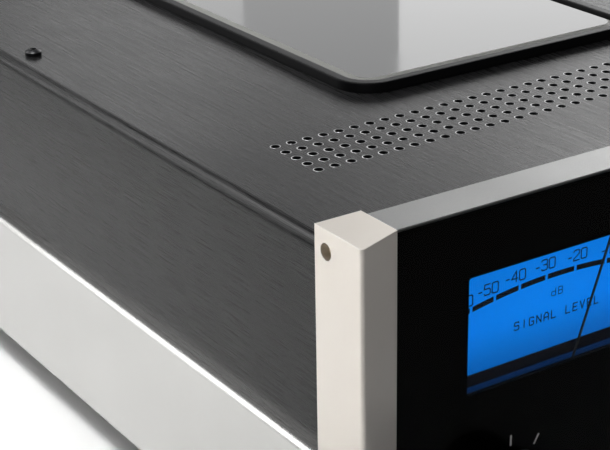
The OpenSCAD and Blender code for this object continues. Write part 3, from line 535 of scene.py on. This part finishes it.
# Single-stroke characters on a grid 4 wide and 6 high
GLYPHS = {
    "0": [[(0.7, 0), (3.3, 0), (4, 0.7), (4, 5.3), (3.3, 6), (0.7, 6), (0, 5.3), (0, 0.7), (0.7, 0)]],
    "1": [[(1, 4.8), (2.2, 6), (2.2, 0)]],
    "2": [[(0, 5), (0, 5.3), (0.7, 6), (3.3, 6), (4, 5.3), (4, 3.9), (0, 1), (0, 0), (4, 0)]],
    "3": [[(0, 5.3), (0.7, 6), (3.3, 6), (4, 5.3), (4, 3.7), (3.3, 3.1), (1.4, 3.1)],
          [(3.3, 3.1), (4, 2.5), (4, 0.7), (3.3, 0), (0.7, 0), (0, 0.7)]],
    "4": [[(3.1, 0), (3.1, 6), (0, 1.8), (4, 1.8)]],
    "5": [[(3.8, 6), (0.3, 6), (0, 3.5), (3.3, 3.5), (4, 2.8), (4, 0.7), (3.3, 0), (0.7, 0), (0, 0.7)]],
    "6": [[(3.6, 6), (1.2, 6), (0, 4.4), (0, 0.7), (0.7, 0), (3.3, 0), (4, 0.7), (4, 2.7),
           (3.3, 3.4), (0, 3.4)]],
    "-": [[(1.6, 2.4), (3.6, 2.4)]],
    "+": [[(0.4, 3), (3.6, 3)], [(2, 1.4), (2, 4.6)]],
    "d": [[(4, 6), (4, 0)],
          [(4, 0.7), (3.3, 0), (0.7, 0), (0, 0.7), (0, 2.9), (0.7, 3.6), (3.3, 3.6), (4, 2.9)]],
    "A": [[(0, 0), (0, 4.4), (1.2, 6), (2.8, 6), (4, 4.4), (4, 0)], [(0, 2.4), (4, 2.4)]],
    "B": [[(0, 0), (0, 6), (3.2, 6), (3.9, 5.3), (3.9, 3.8), (3.2, 3.1), (0, 3.1)],
          [(3.2, 3.1), (4, 2.4), (4, 0.7), (3.3, 0), (0, 0)]],
    "E": [[(3.8, 6), (0, 6), (0, 0), (3.8, 0)], [(0, 3.1), (3.2, 3.1)]],
    "G": [[(4, 5.2), (3.3, 6), (0.7, 6), (0, 5.3), (0, 0.7), (0.7, 0), (3.3, 0), (4, 0.7), (4, 2.8),
           (2.2, 2.8)]],
    "I": [[(2, 0), (2, 6)]],
    "L": [[(0, 6), (0, 0), (3.8, 0)]],
    "N": [[(0, 0), (0, 6), (4, 0), (4, 6)]],
    "S": [[(4, 5.3), (3.3, 6), (0.7, 6), (0, 5.3), (0, 3.8), (0.7, 3.2), (3.3, 3.2), (4, 2.5), (4, 0.7),
           (3.3, 0), (0.7, 0), (0, 0.7)]],
    "V": [[(0, 6), (2, 0), (4, 6)]],
}


def stroke(faces, points, width):
    """Adds a flat line of that width along points, as one quad per straight stretch."""
    for (x0, z0), (x1, z1) in zip(points, points[1:]):
        along = Vector((x1 - x0, z1 - z0)).normalized() * width / 2
        side = Vector((-along.y, along.x))
        start = Vector((x0, z0)) - along * 0.8
        end = Vector((x1, z1)) + along * 0.8
        faces.append([start - side, end - side, end + side, start + side])


def write(faces, text, centre_x, base_z, height, spacing, width):
    """Adds text centred on centre_x, in strokes of that width."""
    unit = height / 6
    step = 4 * unit + spacing
    left = centre_x - (len(text) * step - spacing) / 2
    for k, letter in enumerate(text):
        for line in GLYPHS.get(letter, []):
            points = [(left + k * step + x * unit, base_z + z * unit) for x, z in line]
            stroke(faces, points, width)


def flat_print(name, flat_faces, y, finish, body, record_slot, facing=-1):
    """Turns outlines in the X-Z plane into a thin printed piece at y, seen from the front or the rear."""
    vertices, faces = [], []
    for outline in flat_faces:
        first = len(vertices)
        vertices += [(p[0], y, p[1]) for p in outline]
        order = range(len(outline)) if facing < 0 else reversed(range(len(outline)))
        faces.append([first + k for k in order])
    return new_piece(name, vertices, faces, finish, body, record_slot)


SCALE_R = 180 * MM
scale_top = window_top - 10.35 * MM
# Each number's offset from the meter's centre line, in millimetres
TICKS = {"-60": -32.2, "-50": -23.6, "-40": -14.4, "-30": -4.3, "-20": 6.8, "-10": 18.8, "0": 31.8}


def scale_z(x):
    """Height of the scale's lower edge at an offset from the meter's centre line."""
    return scale_top - (SCALE_R - math.sqrt(SCALE_R ** 2 - x ** 2))


def scale_bars(faces, centre_x):
    """Bars between the ticks, with a small gap at each tick."""
    bar_h, gap_half, end_l, steps = 1.7 * MM, 0.45 * MM, 1.6 * MM, 6
    offsets = [x * MM for x in TICKS.values()]
    stretches = [(offsets[0] - end_l, offsets[0])] + list(zip(offsets, offsets[1:]))
    for start, end in stretches + [(offsets[-1], offsets[-1] + end_l)]:
        low, high = start + gap_half, end - gap_half
        for k in range(steps):
            a = low + (high - low) * k / steps
            b = low + (high - low) * (k + 1) / steps
            faces.append([(centre_x + a, scale_z(a)), (centre_x + b, scale_z(b)),
                          (centre_x + b, scale_z(b) + bar_h), (centre_x + a, scale_z(a) + bar_h)])


def numerals(faces, centre_x):
    """Numbers above the ticks, set along the needle's direction there."""
    height, lift, gap, width, minus_shift = 3.3 * MM, 5.0 * MM, 0.7 * MM, 0.42 * MM, -0.5 * MM
    for label, offset in TICKS.items():
        x = offset * MM
        direction = Vector((x, scale_z(x) - pivot_z)).normalized()
        centre = Vector((x, scale_z(x))) + direction * lift
        shift = minus_shift if label.startswith("-") else 0.0
        write(faces, label, centre_x + centre.x + shift, centre.y - height / 2, height, gap, width)


def rectangle(left, right, low, high):
    return [(left, low), (right, low), (right, high), (left, high)]


ink = printed("dial_ink", (0.002, 0.006, 0.02))
dim_ink = printed("dim_ink", (0.0, 0.02, 0.07))
dim_shader = dim_ink.node_tree.nodes["Principled BSDF"]
dim_shader.inputs["Emission Color"].default_value = (0.0, 0.012, 0.055, 1.0)
dim_shader.inputs["Emission Strength"].default_value = 1.0
PRINT_HALF_W = 40 * MM
PRINT_LIFT = 0.05 * MM
# Heights of the dark bar, the dim band and the lower dark bar, counted from the window's lower edge
BAR_HIGH, BAR_LOW = 4.2 * MM, 0.2 * MM
BAND_LOW, LOWER_BAR_LOW = -1.6 * MM, -7.4 * MM
for side, centre_x in (("left", -METER_X), ("right", METER_X)):
    marks = []
    scale_bars(marks, centre_x)
    numerals(marks, centre_x)
    write(marks, "dB", centre_x, scale_top - 6.0 * MM,
          height=2.3 * MM, spacing=1.1 * MM, width=0.28 * MM)
    write(marks, "SIGNAL LEVEL", centre_x + 0.4 * MM, scale_top - 13.3 * MM,
          height=2.5 * MM, spacing=1.15 * MM, width=0.42 * MM)
    ends = centre_x - PRINT_HALF_W, centre_x + PRINT_HALF_W
    marks.append(rectangle(*ends, window_bottom + BAR_LOW, window_bottom + BAR_HIGH))
    marks.append(rectangle(*ends, window_bottom + LOWER_BAR_LOW, window_bottom + BAND_LOW))
    flat_print(f"dial_print_{side}", marks, dial_front - PRINT_LIFT, ink, "case", "needle_black")
    band = [rectangle(*ends, window_bottom + BAND_LOW, window_bottom + BAR_LOW)]
    flat_print(f"dial_lower_band_{side}", band, dial_front - PRINT_LIFT, dim_ink, "case", "dial_blue")

housing_finish = moulded_black("housing_moulding", 0.008, 0.5)
dress(lit_dial(), "meter_dials")
dress(housing_finish, "meter_housings")
dress(moulded_black("needle_paint", 0.004, 0.55), "meter_needle_left", "meter_needle_right")
dress(zinc, "meter_movements")


# Circuit boards ------------------------------------------------------------
# Glass-fibre boards with green or white solder mask; the weave and the
# copper tracks under the mask show as a faint square pattern.

def solder_mask(name, mask_color, track_color):
    finish, tree, shader = new_finish(name, mask_color, 0.3)
    place = tree.nodes.new("ShaderNodeTexCoord")
    tracks = tree.nodes.new("ShaderNodeTexBrick")
    tracks.inputs["Scale"].default_value = 160.0
    tracks.inputs["Mortar Size"].default_value = 0.03
    tracks.inputs["Color1"].default_value = (0.0, 0.0, 0.0, 1.0)
    tracks.inputs["Color2"].default_value = (0.25, 0.25, 0.25, 1.0)
    tracks.inputs["Mortar"].default_value = (1.0, 1.0, 1.0, 1.0)
    tree.links.new(place.outputs["Object"], tracks.inputs["Vector"])
    grain = use_effect(tree, surface_grain, Fineness=2000.0)
    tint_surface(tree, shader, tracks.outputs["Color"], mask_color, track_color)
    tree.links.new(span(tree, grain.outputs["Clouds"], 0.22, 0.4), shader.inputs["Roughness"])
    return finish


green_board = solder_mask("green_board", (0.01, 0.10, 0.035), (0.03, 0.22, 0.07))
white_board = solder_mask("white_board", (0.72, 0.74, 0.72), (0.85, 0.86, 0.84))
dress(green_board, "control_board", "input_board", "amp_boards", "supply_boards")
dress(white_board, "meter_lamp_boards")


# Knobs and switches --------------------------------------------------------
# Turned aluminium knobs, fluted and anodised black with a white inlaid line,
# on the shafts of rotary switches that are nutted to the steel plate.

def turned_black():
    finish, tree, shader = new_finish("turned_black", (0.05, 0.05, 0.053), 0.35, metallic=0.8)
    grain = use_effect(tree, surface_grain, Fineness=2600.0)
    edges = use_effect(tree, worn_edges, Radius=0.3 * MM, Gain=5.0)
    tint = blend_colors(tree, grain.outputs["Clouds"], (0.038, 0.038, 0.04), (0.065, 0.065, 0.068))
    tint_surface(tree, shader, edges.outputs["Edge"], tint, (0.35, 0.35, 0.36))
    tree.links.new(span(tree, grain.outputs["Grain"], 0.28, 0.44), shader.inputs["Roughness"])
    raise_surface(tree, shader, grain.outputs["Grain"], 0.01 * MM, base_normal=edges.outputs["Normal"])
    return finish


KNOB_LINE_HALF_W = 0.5 * MM
KNOB_LINE_IN, KNOB_LINE_OUT = 5.2 * MM, 11.9 * MM
KNOB_LINE_DEPTH = 0.42 * MM
# The inner and outer ends of the marks round a knob, in millimetres from its centre
MARK_RADII = (18.2, 21.2)
MARK_W = 0.7 * MM
MARK_LIFT = 0.03 * MM
glass_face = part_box("front_glass")[0].y
white_ink = printed("white_ink", (0.72, 0.72, 0.70))
knob_finish = turned_black()
for side in ("left", "right"):
    knob = f"knob_{side}"
    dress(knob_finish, knob)
    dress(zinc, f"switch_shaft_{side}")
    low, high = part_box(knob)
    centre = (low + high) / 2
    line = [rectangle(centre.x - KNOB_LINE_HALF_W, centre.x + KNOB_LINE_HALF_W,
                      centre.z + KNOB_LINE_IN, centre.z + KNOB_LINE_OUT)]
    flat_print(f"knob_line_{side}", line, low.y + KNOB_LINE_DEPTH, white_ink, knob, "white_plastic")
    marks = []
    for degrees in (-30, 0, 30):
        direction = Vector((math.sin(math.radians(degrees)), math.cos(math.radians(degrees))))
        points = [Vector((centre.x, centre.z)) + direction * r * MM for r in MARK_RADII]
        stroke(marks, points, MARK_W)
    flat_print(f"knob_marks_{side}", marks, glass_face - MARK_LIFT, white_ink, "case", "white_plastic")
dress(moulded_black("switch_moulding", 0.03, 0.45), "rotary_switches")
dress(zinc, "bush_nuts")


# Status lens ---------------------------------------------------------------
# A small moulded light guide behind the glass that carries the red light of a
# lamp on the control board.

def red_guide():
    finish, tree, shader = new_finish("red_guide", (0.5, 0.02, 0.01), 0.25)
    grain = use_effect(tree, surface_grain, Fineness=900.0)
    tree.links.new(blend_colors(tree, grain.outputs["Clouds"], (0.7, 0.02, 0.01), (1.0, 0.06, 0.02)),
                   shader.inputs["Emission Color"])
    shader.inputs["Emission Strength"].default_value = 1.2
    return finish


dress(red_guide(), "status_lens")


# Rear panel ----------------------------------------------------------------
# Steel in a fine black powder coat, with the sockets' outlines and the signs
# of the speaker posts screen-printed in white.

def powder_coat():
    finish, tree, shader = new_finish("powder_coat", (0.03, 0.03, 0.032), 0.55)
    grain = use_effect(tree, surface_grain, Fineness=1700.0)
    edges = use_effect(tree, worn_edges, Radius=0.3 * MM, Gain=4.0)
    tint = blend_colors(tree, grain.outputs["Clouds"], (0.022, 0.022, 0.024), (0.038, 0.038, 0.04))
    tint_surface(tree, shader, edges.outputs["Edge"], tint, (0.16, 0.16, 0.16))
    tree.links.new(span(tree, grain.outputs["Grain"], 0.45, 0.7), shader.inputs["Roughness"])
    raise_surface(tree, shader, grain.outputs["Grain"], 0.05 * MM, base_normal=edges.outputs["Normal"])
    return finish


def printed_frame(faces, low, high, margin, width=0.5 * MM):
    """Adds a rectangular outline round a box, margin away from it."""
    left, right = low.x - margin, high.x + margin
    bottom, top = low.z - margin, high.z + margin
    stroke(faces, [(left, bottom), (right, bottom), (right, top), (left, top), (left, bottom)], width)


REAR_PRINT_LIFT = 0.03 * MM
POST_MARGIN = 5 * MM
SIGN_UP, SIGN_H, SIGN_STROKE = 6.5 * MM, 4 * MM, 0.6 * MM
rear_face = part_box("rear_panel")[1].y
labels = []
for name, margin in (("xlr_sockets", 4 * MM), ("rca_sockets", 6 * MM), ("trigger_jacks", 6 * MM),
                     ("mains_inlet", 4 * MM), ("input_switch", 5 * MM)):
    printed_frame(labels, *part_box(name), margin)
posts = [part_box(f"post_cap_{k}") for k in range(1, 5)]
for k in (0, 2):
    low = Vector(map(min, posts[k][0], posts[k + 1][0]))
    high = Vector(map(max, posts[k][1], posts[k + 1][1]))
    printed_frame(labels, low, high, POST_MARGIN)
for k, (low, high) in enumerate(posts):
    write(labels, "-+"[k % 2], (low.x + high.x) / 2, high.z + SIGN_UP, SIGN_H, 0, SIGN_STROKE)
flat_print("rear_print", labels, rear_face + REAR_PRINT_LIFT, white_ink, "case", "white_plastic", facing=1)
dress(powder_coat(), "rear_panel")


# Rear sockets --------------------------------------------------------------
# Moulded black sockets with plated contacts; the phono sockets are gold
# plated and the mains inlet holds its fuse in a small drawer.

def gold_plate():
    finish, tree, shader = new_finish("gold_plate", (0.85, 0.60, 0.24), 0.2, metallic=1.0)
    grain = use_effect(tree, surface_grain, Fineness=2200.0)
    edges = use_effect(tree, worn_edges, Radius=0.2 * MM, Gain=4.0)
    tint = blend_colors(tree, grain.outputs["Clouds"], (0.78, 0.53, 0.20), (0.92, 0.67, 0.28))
    tint_surface(tree, shader, edges.outputs["Edge"], tint, (1.0, 0.82, 0.45))
    tree.links.new(span(tree, grain.outputs["Grain"], 0.14, 0.28), shader.inputs["Roughness"])
    raise_surface(tree, shader, grain.outputs["Grain"], 0.006 * MM, base_normal=edges.outputs["Normal"])
    return finish


gold = gold_plate()
socket_finish = moulded_black("socket_moulding", 0.02, 0.42)
dress(socket_finish, "mains_inlet", "fuse_drawer", "xlr_sockets", "trigger_jacks", "output_transistors")
dress(zinc, "inlet_pins", "xlr_latch_left", "xlr_latch_right", "input_switch")
dress(gold, "rca_sockets", "standoffs")
dress(white_ink, "input_switch_slider")


# Speaker posts -------------------------------------------------------------
# Gold-plated studs in black insulators; each has a clamp collar and a ribbed
# cap that screws outward, black for minus and red for plus.

def ribbed_moulding(name, low, high):
    finish, tree, shader = new_finish(name, high, 0.3)
    grain = use_effect(tree, surface_grain, Fineness=1900.0)
    edges = use_effect(tree, worn_edges, Radius=0.4 * MM, Gain=2.0)
    bright = tuple(min(1.0, 1.6 * c + 0.02) for c in high)
    tint = blend_colors(tree, grain.outputs["Clouds"], low, high)
    tint_surface(tree, shader, edges.outputs["Edge"], tint, bright)
    tree.links.new(span(tree, grain.outputs["Grain"], 0.24, 0.4), shader.inputs["Roughness"])
    raise_surface(tree, shader, grain.outputs["Grain"], 0.012 * MM, base_normal=edges.outputs["Normal"])
    return finish


dress(ribbed_moulding("minus_cap", (0.012, 0.012, 0.013), (0.025, 0.025, 0.027)), "post_cap_1", "post_cap_3")
dress(ribbed_moulding("plus_cap", (0.36, 0.012, 0.012), (0.52, 0.022, 0.02)), "post_cap_2", "post_cap_4")
dress(socket_finish, "post_insulators")
dress(gold, "post_studs", *[f"post_collar_{k}" for k in range(1, 5)])


# Power supply and heat sinks -----------------------------------------------
# A toroid wound with varnished copper and taped, bolted down between rubber
# pads, with sleeved capacitors beside it and black extruded heat sinks in front.

def taped_winding():
    finish, tree, shader = new_finish("taped_winding", (0.4, 0.2, 0.06), 0.35)
    place = tree.nodes.new("ShaderNodeTexCoord")
    turns = tree.nodes.new("ShaderNodeTexWave")
    turns.wave_type = "RINGS"
    turns.rings_direction = "Z"
    turns.inputs["Scale"].default_value = 90.0
    turns.inputs["Distortion"].default_value = 2.0
    tree.links.new(place.outputs["Object"], turns.inputs["Vector"])
    tint_surface(tree, shader, turns.outputs["Fac"], (0.28, 0.12, 0.03), (0.5, 0.26, 0.08))
    raise_surface(tree, shader, turns.outputs["Fac"], 0.1 * MM)
    return finish


def shrink_sleeve():
    finish, tree, shader = new_finish("shrink_sleeve", (0.02, 0.03, 0.16), 0.28)
    grain = use_effect(tree, surface_grain, Fineness=700.0)
    tint_surface(tree, shader, grain.outputs["Clouds"], (0.012, 0.02, 0.11), (0.025, 0.04, 0.2))
    tree.links.new(span(tree, grain.outputs["Grain"], 0.22, 0.36), shader.inputs["Roughness"])
    return finish


def anodised_extrusion():
    finish, tree, shader = new_finish("anodised_extrusion", (0.05, 0.05, 0.053), 0.45, metallic=0.7)
    lines = use_effect(tree, brush_lines, Grain=(2500.0, 2500.0, 20.0))
    tint_surface(tree, shader, lines.outputs["Lines"], (0.03, 0.03, 0.032), (0.075, 0.075, 0.078))
    raise_surface(tree, shader, lines.outputs["Lines"], 0.02 * MM)
    return finish


dress(taped_winding(), "power_transformer")
dress(zinc, "transformer_fixings")
dress(shrink_sleeve(), "filter_capacitors")
dress(anodised_extrusion(), "heat_sinks")


# Studio --------------------------------------------------------------------
# A pale floor, a narrow softbox above the left that whitens the floor there,
# cards behind that sheen the cover and glass, and softboxes and fills all round.

def pale_floor():
    finish, tree, shader = new_finish("pale_floor", (0.85, 0.85, 0.84), 0.7, specular=0.2)
    grain = use_effect(tree, surface_grain, Fineness=120.0)
    tint_surface(tree, shader, grain.outputs["Clouds"], (0.84, 0.84, 0.835), (0.88, 0.88, 0.875))
    return finish


FLOOR_HALF = 4.0
mesh = bpy.data.meshes.new("floor")
corners = [(-FLOOR_HALF, -FLOOR_HALF, 0), (FLOOR_HALF, -FLOOR_HALF, 0), (FLOOR_HALF, FLOOR_HALF, 0),
           (-FLOOR_HALF, FLOOR_HALF, 0)]
mesh.from_pydata(corners, [], [(0, 1, 2, 3)])
mesh.materials.append(pale_floor())
floor = bpy.data.objects.new("floor", mesh)
bpy.context.scene.collection.objects.link(floor)


def soft_light(name, place, target, width, height, radiance, spread=180.0):
    """A rectangular softbox at place, aimed at target, of an even radiance."""
    light = bpy.data.lights.new(name, "AREA")
    light.shape = "RECTANGLE"
    light.size, light.size_y = width, height
    light.energy = radiance * math.pi * width * height
    light.spread = math.radians(spread)
    lamp = bpy.data.objects.new(name, light)
    bpy.context.scene.collection.objects.link(lamp)
    lamp.location = place
    lamp.rotation_mode = "QUATERNION"
    lamp.rotation_quaternion = (Vector(target) - Vector(place)).to_track_quat("-Z", "Y")
    lamp.visible_camera = False


soft_light("left_softbox", (-0.5, 0.1, 1.2), (-0.42, 0.05, 0.0), 0.6, 0.6, 1.55, spread=40.0)
soft_light("back_card", (0.85, 1.6, 0.74), (0.85, 0.0, 0.74), 0.7, 0.5, 1.2)
soft_light("right_card", (1.8, 1.6, 0.74), (1.8, 0.0, 0.74), 1.2, 0.5, 2.5)
soft_light("high_card", (2.0, 1.6, 1.2), (2.0, 0.0, 1.2), 1.2, 0.4, 4.5)
soft_light("left_back_card", (-1.2, 1.6, 0.62), (-1.2, 0.0, 0.62), 0.7, 0.5, 4.5)
soft_light("back_wall", (0.2, 2.4, 1.2), (0.2, 0.0, 1.2), 2.4, 0.8, 0.5)
soft_light("top_fill", (0.0, 0.0, 2.2), (0.0, 0.0, 0.0), 2.4, 2.4, 0.22)
soft_light("rear_softbox", (-0.9, 1.7, 1.6), (0.0, 0.2, 0.05), 0.8, 0.8, 7.0)
soft_light("right_softbox", (1.6, 0.9, 1.2), (0.1, 0.0, 0.05), 0.8, 0.8, 2.5)
soft_light("front_left_fill", (-1.6, -1.6, 0.9), (0.0, -0.2, 0.05), 0.9, 0.9, 1.6)
soft_light("front_fill", (0.9, -2.6, 0.55), (0.0, 0.0, 0.08), 1.2, 0.8, 0.2)

world = bpy.data.worlds.new("studio")
world.use_nodes = True
world.node_tree.nodes["Background"].inputs["Color"].default_value = (0.9, 0.95, 1.0, 1.0)
world.node_tree.nodes["Background"].inputs["Strength"].default_value = 0.04
scene = bpy.context.scene
scene.world = world
scene.view_settings.view_transform = "Standard"
scene.view_settings.look = "None"


# Camera --------------------------------------------------------------------
# Above the front left corner, close and with a long lens.

CAMERA_FROM_CORNER = Vector((-237.1, -336.1, 183.8)) * MM
CAMERA_AZIMUTH = math.radians(33.2)
CAMERA_DOWN = math.radians(23.23)
CAMERA_ROLL = math.radians(-1.05)
cap_low, cap_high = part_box("end_cap_left")
corner = Vector((cap_low.x, cap_low.y, cap_high.z))
forward = Vector((math.sin(CAMERA_AZIMUTH) * math.cos(CAMERA_DOWN),
                  math.cos(CAMERA_AZIMUTH) * math.cos(CAMERA_DOWN), -math.sin(CAMERA_DOWN)))
level_right = Vector((math.cos(CAMERA_AZIMUTH), -math.sin(CAMERA_AZIMUTH), 0.0))
level_up = level_right.cross(forward)
right = level_right * math.cos(CAMERA_ROLL) + level_up * math.sin(CAMERA_ROLL)
up = right.cross(forward)
lens = bpy.data.cameras.new("camera")
lens.lens = 103.3
lens.clip_start = 0.01
lens.clip_end = 50.0
camera = bpy.data.objects.new("camera", lens)
scene.collection.objects.link(camera)
turn = Matrix((right, up, -forward)).transposed().to_4x4()
camera.matrix_world = Matrix.Translation(corner + CAMERA_FROM_CORNER) @ turn
scene.camera = camera
